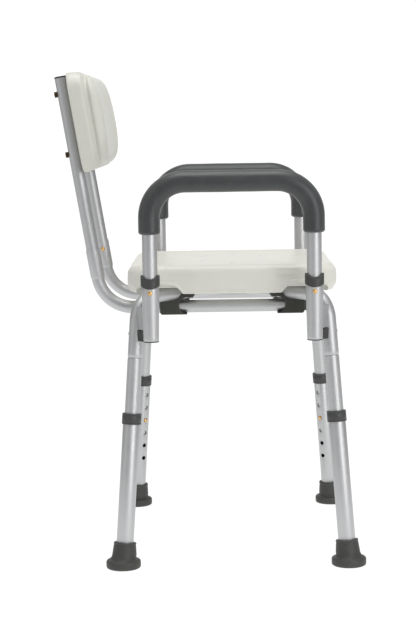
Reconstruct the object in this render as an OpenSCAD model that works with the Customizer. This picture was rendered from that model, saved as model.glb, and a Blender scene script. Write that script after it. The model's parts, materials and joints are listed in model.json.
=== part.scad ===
// Height-adjustable shower chair with a moulded seat and backrest, padded arm
// loops and telescopic legs. Millimetres, +Z up, floor at Z = 0. The sitter faces
// -Y, so the sitter's right is -X. X = 0 is the plane of symmetry.

/* [Legs] */
// Sideways distance from the seat centre to a foot centre
foot_side = 244; // [230:1:260]
// Front-to-back distance from the seat centre to a foot centre
foot_fore = 190.5; // [180:0.5:205]
// Lean of every leg towards the seat centre, from the vertical
leg_lean = 6.435; // [5:0.005:8]
// Outer diameter of the frame tubes and inner legs
frame_tube_d = 25; // [24:0.5:26]
// Outer diameter of the outer legs
outer_leg_d = 29; // [28.5:0.5:30]
// Height of the snap button above the floor at the stored setting
leg_button_z = 174; // [170:1:178]
// Spacing of the height holes along the leg
hole_pitch = 25.4; // [24:0.1:27]

/* [Frame] */
// Height of the centreline of the crossed frame tubes
frame_z = 455; // [450:1:460]
// Centreline bend radius of the frame tubes
frame_bend_r = 45; // [40:1:50]
// Height of the joint between a frame tube and its inner leg
leg_joint_z = 353; // [345:1:360]

/* [Seat] */
// Seat width, side to side
seat_w = 370; // [360:1:376]
// Seat depth, front to back
seat_d = 361; // [350:1:370]
// Height of the seat's top face
seat_top_z = 506; // [500:1:512]
// Height of the lower rim of the seat's skirt
skirt_z = 457.7; // [455:0.1:460]
// Radius of the seat's corners seen from above
seat_corner_r = 45; // [30:1:60]

/* [Arms] */
// Sideways distance from the seat centre to an arm loop
arm_side = 238; // [234:1:242]
// Half the distance between the two posts of an arm loop
arm_fore = 136.8; // [130:0.1:142]
// Height of the centreline of an arm loop's top run
arm_top_z = 650; // [630:1:680]
// Centreline radius of an arm loop's corners
arm_bend_r = 60; // [50:1:70]
// Outer diameter of the foam arm pad
pad_d = 36.8; // [34:0.1:40]

/* [Back] */
// Sideways distance from the seat centre to a back tube
back_side = 118; // [112:1:124]
// Height of the centreline of the rails under the seat
rail_z = 430; // [429:0.5:430.5]
// Outer diameter of the back tubes
back_tube_d = 22; // [21.5:0.5:22]
// Rearward lean of the back tubes from the vertical
back_lean = 9.23; // [6:0.01:12]
// Centreline bend radius of the lower back tubes
back_bend_r = 61; // [58:1:64]
// Width of the backrest
backrest_w = 354; // [330:1:370]
// Height of the backrest along its back plane
backrest_h = 170; // [160:1:180]
// Thickness of the backrest
backrest_t = 50; // [45:1:55]

/* [Hidden] */
$fn = 96;
fit = 0.08;          // radial running clearance of a tube in a tube
rest_gap = 0.05;     // clearance between fixed pieces that touch
tube_wall = 1.2;
right = -1;
left = 1;
rear = 1;
front = -1;
sides = [right, left];
ends = [rear, front];

// The origin is under the middle of the overall footprint, so the seat centre
// lies this far forward of it
front_reach = foot_fore + 29.3;
rear_reach = 299.9;
seat_y = (front_reach - rear_reach) / 2;

// Leg geometry, in the vertical plane that holds both legs of one frame tube
leg_azimuth = atan2(foot_fore, foot_side);
foot_reach = norm([foot_side, foot_fore]);
bend_tangent = frame_bend_r * tan((90 - leg_lean) / 2);
bend_reach = round(100 * (foot_reach - frame_z * tan(leg_lean) - bend_tangent)) / 100;
bend_start = frame_z / cos(leg_lean) - bend_tangent;
frame_tube_id = frame_tube_d - 2 * tube_wall;
spigot_top_z = 385;
inner_leg_foot_z = 134;
outer_leg_foot_z = 14;
outer_leg_top_z = 255;
outer_leg_id = 26.4;
collar_foot_z = 242;
collar_top_z = 260.5;
collar_d = 32.8;
foot_h = 43;
flange_d = 58.6;
flange_h = 15;
rim_r = 4;
hole_count = 6;
holes_above = 2;
button_d = 7.2;
button_hole_d = 7.8;

// Crossing of the two frame tubes
press_t = 12.2;
press_w = 32;
press_half = 26;
press_end = 48;
press_drop = 6.25;
centre_bolt_d = 6;

// Arm sockets
socket_foot_z = 385;
socket_top_z = 480;
socket_cone_z = 462;
socket_d = 29.4;
socket_foot_d = 26;
arm_foot_z = 409;
arm_button_z = 466;
arm_collar_z = 472.5;
arm_collar_top_z = 496;
arm_collar_d = 32.2;
pad_foot_z = 563;
saddle_foot_z = 383;
saddle_top_z = 401;
saddle_w = 13;
gusset_top_z = 441;
gusset_w = 11;
socket_bolt_z = 393;
socket_bolt_d = 5;

// Back tubes, in a vertical plane: distances run rearward from the seat centre
back_joint_z = 531;
back_joint_y = 240.2;
back_tube_id = back_tube_d - 2 * tube_wall;
mouth_d = 24.4;
mouth_id = back_tube_d + 2 * fit;
mouth_depth = 45;
rail_bend_z = rail_z + back_bend_r;
mouth_start = (rail_bend_z - back_bend_r * sin(back_lean) - back_joint_z) / cos(back_lean);
rail_bend_y = back_joint_y + mouth_start * sin(back_lean) - back_bend_r * cos(back_lean);
rail_front_y = -120;
upper_tube_top = 299.5;
cap_t = 1.8;
back_button_along = -15.2;
rail_button_y = 99;
backrest_gap = 2;
backrest_foot = 135;
backrest_bolt_heights = [168.2, 272.5];
backrest_bolt_d = 6;

// Brackets
bracket_outer_y = 125;
bracket_inner_y = 90;
bracket_half_w = 16;
bracket_foot_z = 417;
lip_y = 78;
lip_z = 418.5;
tab_y = 65;
tab_z = 446.5;
tab_top_z = 451.7;
screw_side = 125;
screw_y = 72;
screw_d = 4;

// Seat
slab_z = 468;
skirt_t = 10;
seat_wall = 4;
seat_edge_r = 16;
boss_d = 12;
drain_d = 8;
drain_pitch = 52;
arch_r = 26;
arch_z = 447;
arch_y = 108.6;
arch_outer_y = 146;

// Frames of reference

// Everything is laid out from the seat centre, then moved to the part's origin
module from_seat_centre() {
  translate([0, seat_y, 0]) children();
}

// X runs out along the diagonal towards the leg at that side and end
module on_diagonal(side, end) {
  from_seat_centre() rotate([0, 0, atan2(end * foot_fore, side * foot_side)]) children();
}

// Z runs up the leg's axis from the foot centre, X points away from the seat
module on_leg(side, end) {
  on_diagonal(side, end) translate([foot_reach, 0, 0]) rotate([0, -leg_lean, 0]) children();
}

// Distance along a leg's axis of the point at height z
function up_leg(z) = z / cos(leg_lean);

// X and Y of a leg's axis at height z, from the seat centre
function leg_at(z) = (foot_reach - z * tan(leg_lean)) * [cos(leg_azimuth), sin(leg_azimuth)];

// Z is the axis of an arm post
module on_post(side, end) {
  from_seat_centre() translate([side * arm_side, end * arm_fore, 0]) children();
}

// X runs rearward, Z up, in the plane of one back tube
module in_back_plane(side) {
  from_seat_centre() translate([side * back_side, 0, 0]) rotate([0, 0, 90]) children();
}

// Z runs up the back tube's axis from its joint, X points rearward
module on_back(side) {
  in_back_plane(side) translate([back_joint_y, 0, back_joint_z]) rotate([0, back_lean, 0]) children();
}

// Shapes used by several pieces

// Quarter or other part of a tube bend in the XZ plane, from one angle to another
module bend(d, r, from, to) {
  rotate([90, 0, 0]) rotate([0, 0, from]) rotate_extrude(angle = to - from) translate([r, 0]) circle(d = d);
}

// Slight swelling that the bending tool leaves where a bend meets a straight run
module bend_mark(d) {
  cylinder(d = d + 0.2, h = 2, center = true);
}

// Outline of a round tube pressed flat
module pressed_outline(w, t) {
  square([w - t, t], center = true);
  for (x = [-1, 1]) translate([x * (w - t) / 2, 0]) circle(d = t);
}

// Snap button along +X from the tube's axis. bore_r is the inner radius of its own
// tube and tip_r the radius its domed tip reaches.
module snap_button(bore_r, tip_r) {
  dome_r = 5.5;
  flange_t = 1;
  flange_foot = bore_r - 2.4;
  color("darkgoldenrod") rotate([0, 90, 0]) {
    translate([0, 0, flange_foot]) cylinder(d = 9, h = flange_t);
    translate([0, 0, flange_foot + flange_t]) cylinder(d = button_d, h = tip_r - 2 - flange_foot - flange_t);
    intersection() {
      translate([0, 0, tip_r - 2]) cylinder(d = button_d, h = 2);
      translate([0, 0, tip_r - dome_r]) sphere(r = dome_r);
    }
  }
}

// Hairpin spring inside a tube: one leaf lies under the button on the +X side and
// the other near the far wall, and the bend is length below the button
module hairpin(bore_r, length) {
  leaf_t = 0.8;
  leaf_w = 6;
  near = bore_r - 2.5;
  far = bore_r - 0.6;
  color("gainsboro") {
    translate([near - leaf_t, -leaf_w / 2, -length]) cube([leaf_t, leaf_w, length + 5]);
    translate([-far, -leaf_w / 2, -length]) cube([leaf_t, leaf_w, length + 5]);
    translate([(near - far) / 2, 0, -length]) rotate([-90, 0, 0])
      rotate_extrude(angle = 180)
        translate([(near + far) / 2 - leaf_t, -leaf_w / 2]) square([leaf_t, leaf_w]);
  }
}

// Frame

// Solid of one frame tube's outside, or of its bore with over > 0 past the ends
module frame_tube_solid(d, over) {
  for (turn = [0, 180]) rotate([0, 0, turn]) {
    translate([press_end, 0, frame_z]) rotate([0, 90, 0]) cylinder(d = d, h = bend_reach - press_end);
    translate([bend_reach, 0, frame_z]) rotate([0, 90, 0]) bend_mark(d);
    translate([bend_reach, 0, frame_z - frame_bend_r]) rotate([0, -leg_lean, 0]) {
      bend(d, frame_bend_r, 0, 90 - leg_lean);
      translate([frame_bend_r, 0, 0]) cylinder_between(d, up_leg(leg_joint_z) - bend_start - over, 0);
    }
  }
}

// The pressed stretch about the crossing, thinned on each side by inset
module pressed_solid(inset, z) {
  slice = 1;
  shrink = 0.1;
  w = press_w - 2 * inset;
  t = press_t - 2 * inset;
  translate([-press_half, 0, z]) rotate([90, 0, 90]) linear_extrude(2 * press_half) pressed_outline(w, t);
  for (turn = [0, 180]) rotate([0, 0, turn]) hull() {
    translate([press_half - slice, 0, z]) rotate([90, 0, 90]) linear_extrude(slice)
      pressed_outline(w - shrink, t - shrink, $fn = 32);
    translate([press_end, 0, frame_z]) rotate([0, 90, 0])
      cylinder(d = frame_tube_d - 2 * inset - shrink, h = slice, $fn = 32);
  }
}

// level is -1 for the tube that passes below at the crossing and 1 for the other
module frame_tube(side, level) {
  z = frame_z + level * press_drop;
  color("lightsteelblue") difference() {
    on_diagonal(side, rear) difference() {
      union() {
        frame_tube_solid(frame_tube_d, 0);
        pressed_solid(0, z);
      }
      union() {
        frame_tube_solid(frame_tube_id, 1);
        pressed_solid(tube_wall, z);
      }
      translate([0, 0, frame_z - 20]) cylinder(d = centre_bolt_d + 0.4, h = 40);
    }
    socket_bolt_hole(side, rear, socket_bolt_d + 0.3);
    socket_bolt_hole(-side, front, socket_bolt_d + 0.3);
  }
}

module centre_bolt() {
  foot = frame_z - press_drop - press_t / 2 - rest_gap;
  top = frame_z + press_drop + press_t / 2 + rest_gap;
  color("silver") from_seat_centre() {
    translate([0, 0, foot - 1.5]) cylinder(d = 16, h = 1.5);
    translate([0, 0, foot - 5.5]) cylinder(d = 11, h = 4, $fn = 6);
    translate([0, 0, foot]) cylinder(d = centre_bolt_d, h = top - foot + 4.6);
    difference() {
      translate([0, 0, top]) cylinder(d = 11, h = 4, $fn = 6);
      cylinder(d = centre_bolt_d, h = seat_top_z);
    }
  }
}

module inner_leg(side, end) {
  shoulder = up_leg(leg_joint_z) - 0.5;
  foot = up_leg(inner_leg_foot_z);
  color("lightsteelblue") on_leg(side, end) difference() {
    union() {
      translate([0, 0, foot]) cylinder(d = frame_tube_d, h = shoulder - foot);
      cylinder_between(frame_tube_id - 2 * rest_gap, shoulder, up_leg(spigot_top_z));
    }
    cylinder_between(frame_tube_id, foot - 1, shoulder - 12);
    cylinder_between(frame_tube_id - 2 * tube_wall, shoulder - 13, up_leg(spigot_top_z) + 1);
    translate([0, 0, up_leg(leg_button_z)]) rotate([0, -90, 0]) cylinder(d = button_hole_d, h = frame_tube_d);
  }
}

// Upright cylinder between two distances along Z
module cylinder_between(d, foot, top) {
  translate([0, 0, foot]) cylinder(d = d, h = top - foot);
}

module outer_leg(side, end) {
  color("lightsteelblue") on_leg(side, end) difference() {
    cylinder_between(outer_leg_d, up_leg(outer_leg_foot_z), up_leg(outer_leg_top_z));
    cylinder_between(outer_leg_id, 0, up_leg(outer_leg_top_z) + 1);
    for (i = [0 : hole_count - 1])
      translate([0, 0, up_leg(leg_button_z) + (holes_above - i) * hole_pitch])
        rotate([0, -90, 0]) cylinder(d = button_hole_d, h = outer_leg_d);
  }
}

module leg_collar(side, end) {
  foot = up_leg(collar_foot_z);
  top = up_leg(collar_top_z);
  step = up_leg(outer_leg_top_z) + rest_gap;
  bevel = 1;
  color("dimgray") on_leg(side, end) rotate_extrude() difference() {
    polygon([
      [0, foot], [collar_d / 2 - bevel, foot], [collar_d / 2, foot + bevel],
      [collar_d / 2, top - bevel], [collar_d / 2 - bevel, top], [0, top]
    ]);
    translate([0, foot - 1]) square([frame_tube_d / 2 + fit, top - foot + 2]);
    translate([0, foot - 1]) square([outer_leg_d / 2 + rest_gap, step - foot + 1]);
  }
}

module foot(side, end) {
  cuff_z = 12;
  color("dimgray") difference() {
    union() {
      from_seat_centre() translate([side * foot_side, end * foot_fore, 0]) rotate_extrude() {
        square([flange_d / 2 - rim_r, flange_h]);
        translate([0, rim_r]) square([flange_d / 2, flange_h - 2 * rim_r]);
        for (z = [rim_r, flange_h - rim_r]) translate([flange_d / 2 - rim_r, z]) circle(r = rim_r);
      }
      on_leg(side, end) translate([0, 0, cuff_z]) cylinder(r1 = 20.6, r2 = 18.5, h = up_leg(foot_h) - cuff_z);
    }
    on_leg(side, end)
      cylinder_between(outer_leg_d + 2 * rest_gap, up_leg(outer_leg_foot_z) - rest_gap, up_leg(foot_h) + 3);
    from_seat_centre() translate([side * foot_side, end * foot_fore, -1]) {
      cylinder(r = 9, h = 3);
      difference() {
        cylinder(r = 19, h = 3);
        translate([0, 0, -1]) cylinder(r = 15, h = 5);
      }
    }
  }
}

module leg_button(side, end) {
  on_leg(side, end) translate([0, 0, up_leg(leg_button_z)]) rotate([0, 0, 180])
    snap_button(frame_tube_id / 2, outer_leg_d / 2 + 2);
}

module leg_springs() {
  for (side = sides, end = ends)
    on_leg(side, end) translate([0, 0, up_leg(leg_button_z)]) rotate([0, 0, 180])
      hairpin(frame_tube_id / 2, 26);
}

// Arms

// Solid cone of an arm socket's outside
module socket_outside(extra) {
  cone_h = socket_cone_z - socket_foot_z;
  translate([0, 0, socket_foot_z]) cylinder(d1 = socket_foot_d + extra, d2 = socket_d + extra, h = cone_h);
  cylinder_between(socket_d + extra, socket_cone_z, socket_top_z);
}

// X runs from the post's axis towards the leg's axis at height z
module towards_leg(side, end, z) {
  gap = leg_at(z) - [arm_side, arm_fore];
  on_post(side, end) rotate([0, 0, atan2(end * gap.y, side * gap.x)]) children();
}

module socket_bolt_hole(side, end, d) {
  towards_leg(side, end, socket_bolt_z) translate([0, 0, socket_bolt_z]) rotate([0, 90, 0])
    cylinder(d = d, h = 60);
}

module arm_socket(side, end) {
  color("lightsteelblue") difference() {
    on_post(side, end) difference() {
      socket_outside(0);
      cylinder_between(frame_tube_d + 2 * fit, arm_foot_z - 1, socket_top_z + 1);
      cylinder_between(frame_tube_id, socket_foot_z - 1, arm_foot_z);
      translate([0, 0, arm_button_z]) rotate([0, side * 90, 0]) cylinder(d = button_hole_d, h = socket_d);
    }
    socket_bolt_hole(side, end, socket_bolt_d + 0.3);
  }
}

module socket_collar(side, end) {
  wall_z = socket_top_z + rest_gap;
  mid_z = (arm_collar_z + arm_collar_top_z) / 2;
  dip_r = 20;
  color("dimgray") on_post(side, end) difference() {
    intersection() {
      cylinder_between(arm_collar_d, arm_collar_z, arm_collar_top_z);
      // the lower edge bows down at the outer face and rises at the front and rear
      rotate([90, 0, 90]) linear_extrude(2 * arm_collar_d, center = true)
        translate([0, arm_collar_z + 30]) circle(r = 30);
    }
    // the upper edge dips at the outer and inner faces
    translate([0, 0, mid_z + 4 + dip_r]) rotate([0, 90, 0])
      cylinder(r = dip_r, h = 2 * arm_collar_d, center = true);
    cylinder_between(frame_tube_d + 2 * fit, arm_collar_z - 1, arm_collar_top_z + 1);
    cylinder_between(socket_d + 2 * rest_gap, arm_collar_z - 1, wall_z);
  }
}

module socket_collars() {
  for (side = sides, end = ends) socket_collar(side, end);
}

// Plug in the foot of a socket, with a saddle that bears on the leg
module socket_plug(side, end) {
  gap = norm(leg_at(socket_bolt_z) - [arm_side, arm_fore]);
  color("dimgray") difference() {
    union() {
      on_post(side, end) cylinder_between(frame_tube_id - 2 * rest_gap, saddle_foot_z, saddle_top_z);
      on_post(side, end) cylinder_between(socket_foot_d, saddle_foot_z, socket_foot_z - rest_gap);
      difference() {
        towards_leg(side, end, socket_bolt_z) translate([0, -saddle_w / 2, saddle_foot_z])
          cube([gap, saddle_w, saddle_top_z - saddle_foot_z]);
        on_post(side, end) socket_outside(2 * rest_gap);
      }
    }
    on_leg(side, end) cylinder(d = frame_tube_d + 2 * rest_gap, h = bend_start);
    socket_bolt_hole(side, end, socket_bolt_d);
  }
}

module socket_plugs() {
  for (side = sides, end = ends) socket_plug(side, end);
}

// Short welded gusset between a socket and its leg, above the saddle
module socket_gusset(side, end) {
  gap = norm(leg_at(saddle_top_z) - [arm_side, arm_fore]);
  z = saddle_top_z + 1;
  color("lightsteelblue") difference() {
    towards_leg(side, end, saddle_top_z) translate([0, -gusset_w / 2, z])
      cube([gap, gusset_w, gusset_top_z - z]);
    on_post(side, end) socket_outside(2 * rest_gap);
    on_leg(side, end) cylinder(d = frame_tube_d + 2 * rest_gap, h = frame_z);
  }
}

module socket_gussets() {
  for (side = sides, end = ends) socket_gusset(side, end);
}

// Bolt from the plug through the saddle, ending in a nut against the leg's wall
module socket_bolt(side, end) {
  gap = norm(leg_at(socket_bolt_z) - [arm_side, arm_fore]);
  color("silver") towards_leg(side, end, socket_bolt_z) translate([0, 0, socket_bolt_z]) rotate([0, 90, 0]) {
    cylinder_between(socket_bolt_d - 0.1, 2, gap + frame_tube_d / 2 + 0.2);
    cylinder_between(9, gap + frame_tube_d / 2 + 0.2, gap + frame_tube_d / 2 + 3.2);
  }
}

module socket_bolts() {
  for (side = sides, end = ends) socket_bolt(side, end);
}

// Inverted U in the XZ plane, its posts reaching down to foot_z
module bow(d, foot_z) {
  run = arm_fore - arm_bend_r;
  corner_z = arm_top_z - arm_bend_r;
  for (turn = [0, 180]) rotate([0, 0, turn]) {
    translate([arm_fore, 0, 0]) cylinder_between(d, foot_z, corner_z);
    translate([run, 0, corner_z]) bend(d, arm_bend_r, 0, 90);
    translate([0, 0, arm_top_z]) rotate([0, 90, 0]) cylinder(d = d, h = run);
  }
}

module on_arm(side) {
  from_seat_centre() translate([side * arm_side, 0, 0]) rotate([0, 0, 90]) children();
}

module arm_tube(side) {
  color("lightsteelblue") difference() {
    on_arm(side) bow(frame_tube_d, arm_foot_z);
    on_arm(side) bow(frame_tube_id, arm_foot_z - 1);
    for (end = ends) on_post(side, end) translate([0, 0, arm_button_z]) rotate([0, side * 90, 0])
      cylinder(d = button_hole_d, h = frame_tube_d);
  }
}

module arm_pad(side) {
  color("dimgray") on_arm(side) difference() {
    bow(pad_d, pad_foot_z);
    bow(frame_tube_d + 2 * rest_gap, pad_foot_z - 1);
  }
}

module arm_button(side, end) {
  on_post(side, end) translate([0, 0, arm_button_z]) rotate([0, 0, side > 0 ? 0 : 180])
    snap_button(frame_tube_id / 2, socket_d / 2 + 1.8);
}

module arm_springs(side) {
  for (end = ends) on_post(side, end) translate([0, 0, arm_button_z]) rotate([0, 0, side > 0 ? 0 : 180])
    hairpin(frame_tube_id / 2, 30);
}

// Back

// Rail, bend and straight end of a lower back tube as one solid
module lower_back_solid(d, over) {
  translate([rail_front_y - over, 0, rail_z]) rotate([0, 90, 0])
    cylinder(d = d, h = rail_bend_y - rail_front_y + over);
  translate([rail_bend_y, 0, rail_bend_z]) bend(d, back_bend_r, -90, -back_lean);
  translate([back_joint_y, 0, back_joint_z]) rotate([0, back_lean, 0])
    translate([0, 0, mouth_start]) bend_mark(d);
}

module lower_back_tube(side) {
  flare = 4;
  lap = 0.5;
  color("lightsteelblue") difference() {
    union() {
      in_back_plane(side) lower_back_solid(back_tube_d, 0);
      on_back(side) {
        translate([0, 0, mouth_start - lap]) cylinder(d1 = back_tube_d + 0.4, d2 = mouth_d, h = flare);
        cylinder_between(mouth_d, mouth_start + flare - lap, 0);
      }
    }
    in_back_plane(side) lower_back_solid(back_tube_id, 1);
    on_back(side) {
      cylinder_between(back_tube_id, mouth_start, 1);
      cylinder_between(mouth_id, -mouth_depth, 1);
      translate([0, 0, back_button_along]) rotate([-side * 90, 0, 0]) cylinder(d = button_hole_d, h = mouth_d);
    }
    from_seat_centre() translate([side * back_side, rail_button_y, rail_z]) rotate([180, 0, 0])
      cylinder(d = button_hole_d, h = back_tube_d);
  }
}

module upper_back_tube(side) {
  foot = -mouth_depth + 0.5;
  color("lightsteelblue") on_back(side) difference() {
    cylinder_between(back_tube_d, foot, upper_tube_top);
    cylinder_between(back_tube_id, foot - 1, upper_tube_top + 1);
    translate([0, 0, back_button_along]) rotate([-side * 90, 0, 0]) cylinder(d = button_hole_d, h = back_tube_d);
    for (along = backrest_bolt_heights)
      translate([0, 0, along]) rotate([0, 90, 0])
        cylinder(d = backrest_bolt_d + 0.4, h = 2 * back_tube_d, center = true);
  }
}

module back_tube_caps() {
  for (side = sides) color("black") on_back(side) {
    cylinder_between(back_tube_d + 0.6, upper_tube_top + rest_gap, upper_tube_top + cap_t);
    cylinder_between(back_tube_id - 2 * rest_gap, upper_tube_top - 12, upper_tube_top + rest_gap);
  }
}

module back_button(side) {
  on_back(side) translate([0, 0, back_button_along]) rotate([0, 0, -side * 90]) rotate([0, 0, 180])
    snap_button(back_tube_id / 2, mouth_d / 2 + 2);
}

module back_springs() {
  for (side = sides) on_back(side) translate([0, 0, back_button_along]) rotate([0, 0, side * 90])
    hairpin(back_tube_id / 2, 18);
}

module rail_button(side) {
  from_seat_centre() translate([side * back_side, rail_button_y, rail_z]) rotate([0, 90, 0])
    snap_button(back_tube_id / 2, back_tube_d / 2 + 3.7);
}

// The hairpins lie along the rails, their bends towards the front
module rail_springs() {
  for (side = sides) from_seat_centre() translate([side * back_side, rail_button_y, rail_z])
    rotate([-90, 0, 0]) rotate([0, 0, 90]) hairpin(back_tube_id / 2, 26);
}

// Where the backrest's rear face starts, forward of the tubes' axes
backrest_face = back_tube_d / 2 + backrest_gap;

// The backrest's frame: Y runs rearward from the tubes' axes, Z up along them
module on_backrest() {
  from_seat_centre() translate([0, back_joint_y, back_joint_z]) rotate([-back_lean, 0, 0]) children();
}

// Points of an arc about centre c
function arc(c, r, from, to, steps) =
  [for (i = [0 : steps]) c + r * [cos(from + (to - from) * i / steps), sin(from + (to - from) * i / steps)]];

// Side outline of the backrest: X is the depth from its rear face, Y the height
module backrest_side(inset) {
  nose = 14;
  top_drop = 5;
  top_r = 44;
  t = backrest_t;
  h = backrest_h;
  offset_2d(inset) polygon(concat(
    [[0, 3], [3, 0]],
    arc([t - nose, nose + 9], nose, -62, 0, 8),
    arc([t - top_r, h - top_drop - top_r], top_r, 0, 66, 10),
    [[28, h - 3], [3, h], [0, h - 3]]
  ));
}

// Moves an outline in from all sides by about inset, by shrinking its box
module offset_2d(inset) {
  k = inset / backrest_t;
  translate([inset, inset]) scale(1 - 2 * k) children();
}

// Plan outline: a flat side, then a round nose, and a slightly hollow front
module backrest_plan() {
  side_flat = 26;
  nose = 17;
  hollow = 9;
  w = backrest_w / 2;
  sag_r = (pow(w - nose, 2) + hollow * hollow) / (2 * hollow);
  difference() {
    union() {
      square([2 * w, 2 * side_flat], center = true);
      square([2 * (w - nose - 4), 2 * backrest_t], center = true);
      for (x = [-1, 1]) translate([x * (w - nose - 4), side_flat + 7]) circle(r = nose);
    }
    translate([0, backrest_t - hollow + sag_r]) circle(r = sag_r, $fn = 360);
    translate([0, -backrest_t]) square([3 * w, 2 * backrest_t], center = true);
  }
}

// Front outline: a rounded rectangle
module rounded_outline(w, h, r) {
  square([w - 2 * r, h], center = true);
  square([w, h - 2 * r], center = true);
  for (x = [-1, 1], y = [-1, 1]) translate([x * (w / 2 - r), y * (h / 2 - r)]) circle(r = r);
}

module backrest() {
  corner = 38;
  insert_depth = 26;
  cavity_w = 220;
  color("ivory") on_backrest() translate([0, -backrest_face, backrest_foot]) difference() {
    intersection() {
      rotate([90, 0, -90]) linear_extrude(2 * backrest_w, center = true) backrest_side(0);
      translate([0, 1, backrest_h / 2]) rotate([90, 0, 0]) linear_extrude(2 * backrest_t)
        rounded_outline(backrest_w, backrest_h, corner);
      rotate([0, 0, 180]) translate([0, 0, -1]) linear_extrude(backrest_h + 2) backrest_plan();
    }
    difference() {
      translate([-backrest_w / 2 + 25, -34, 22]) cube([backrest_w - 50, 29, backrest_h - 62]);
      for (x = [-back_side, back_side], along = backrest_bolt_heights)
        translate([x, 0, along - backrest_foot]) rotate([90, 0, 0]) cylinder(d = 18, h = 40);
    }
    for (x = [-back_side, back_side], along = backrest_bolt_heights)
      translate([x, 1, along - backrest_foot]) rotate([90, 0, 0])
        cylinder(d = backrest_bolt_d, h = insert_depth + 1);
  }
}

// Bolts enter from the rear, through the tube and the washer, into the backrest
module backrest_bolts() {
  head_h = 5;
  length = 46;
  for (side = sides, along = backrest_bolt_heights)
    color("peru") on_back(side) translate([back_tube_d / 2 + rest_gap, 0, along]) rotate([0, -90, 0]) {
      cylinder(d = backrest_bolt_d - 0.1, h = length);
      translate([0, 0, -head_h]) cylinder(d = 10, h = head_h, $fn = 6);
    }
}

module backrest_washers() {
  for (side = sides, along = backrest_bolt_heights)
    color("black") on_back(side) difference() {
      translate([-backrest_face + rest_gap, 0, along]) rotate([0, 90, 0])
        cylinder(d = 14, h = backrest_gap + 2);
      cylinder_between(back_tube_d + 2 * rest_gap, along - 20, along + 20);
      translate([0, 0, along]) rotate([0, -90, 0]) cylinder(d = backrest_bolt_d + 0.2, h = back_tube_d);
    }
}

// Brackets

// One bracket wraps a rail from below and cradles the frame tube above it.
// closed shuts its outer end, where a rail stops.
module bracket(side, end, closed) {
  bore_end = closed ? -rail_front_y + 0.5 : bracket_outer_y + 1;
  color("darkslategray") difference() {
    from_seat_centre() translate([side * back_side, 0, 0]) rotate([90, 0, 90 * end])
      linear_extrude(2 * bracket_half_w, center = true) difference() {
        polygon([
          [lip_y, bracket_foot_z], [bracket_outer_y - 3, bracket_foot_z], [bracket_outer_y, bracket_foot_z + 3],
          [bracket_outer_y, 447.5], [115, 449], [106, 453], [bracket_inner_y, tab_top_z],
          [tab_y, tab_top_z], [tab_y, tab_top_z - 2], [tab_y + 3, tab_z], [lip_y, tab_z]
        ]);
        translate([lip_y, (lip_z + tab_z) / 2]) circle(r = (tab_z - lip_z) / 2);
        translate([0, lip_z]) square([lip_y, tab_z - lip_z]);
      }
    from_seat_centre() translate([side * back_side, 0, rail_z]) rotate([end * -90, 0, 0])
      cylinder_between(back_tube_d + 2 * fit + 0.04, 0, bore_end);
    on_diagonal(side, end) translate([0, 0, frame_z]) rotate([0, 90, 0])
      cylinder(d = frame_tube_d + 2 * rest_gap, h = bend_reach);
    from_seat_centre() translate([side * screw_side, end * screw_y, tab_z - 5])
      cylinder(d = screw_d + 0.6, h = 20);
    if (!closed)
      from_seat_centre() translate([side * back_side, end * rail_button_y, rail_z]) rotate([180, 0, 0])
        cylinder(d = button_hole_d, h = back_tube_d);
  }
}

module rear_brackets() {
  for (side = sides) bracket(side, rear, false);
}

module front_brackets() {
  for (side = sides) bracket(side, front, true);
}

module bracket_screws() {
  color("silver") for (side = sides, end = ends)
    from_seat_centre() translate([side * screw_side, end * screw_y, 0]) {
      cylinder_between(8, tab_z - 2.4, tab_z - rest_gap);
      cylinder_between(screw_d - 0.1, tab_z - rest_gap, tab_z + 16);
    }
}

// Seat

// Slab with rounded upper edges: r is the corner radius and edge the edge's radius
module soft_slab(w, d, r, edge, foot, top) {
  translate([0, 0, foot]) linear_extrude(top - edge - foot) rounded_outline(w, d, r);
  translate([0, 0, top - edge]) linear_extrude(edge) rounded_outline(w - 2 * edge, d - 2 * edge, r - edge);
  for (turn = [0, 180]) rotate([0, 0, turn]) translate([0, 0, top - edge]) {
    translate([w / 2 - edge, 0, 0]) rotate([90, 0, 0]) quarter_rod(edge, d - 2 * r);
    translate([0, d / 2 - edge, 0]) rotate([90, 0, 90]) quarter_rod(edge, w - 2 * r);
    for (x = [0, 1])
      translate([(x * 2 - 1) * (w / 2 - r), d / 2 - r, 0]) rotate([0, 0, 90 - 90 * x])
        rotate_extrude(angle = 90) {
          translate([r - edge, 0]) quarter_disc(edge);
          square([r - edge, edge]);
        }
  }
}

module quarter_disc(r) {
  intersection() {
    circle(r = r);
    square(r);
  }
}

module quarter_rod(r, length) {
  linear_extrude(length, center = true) quarter_disc(r);
}

// Drain hole places: a grid that leaves the bosses and the centre clear
drain_places = [for (x = [-2 : 2], y = [-2 : 2]) if (!(x == 0 && y == 0) && (x + y) % 2 == 0) drain_pitch * [x, y]];

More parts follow.
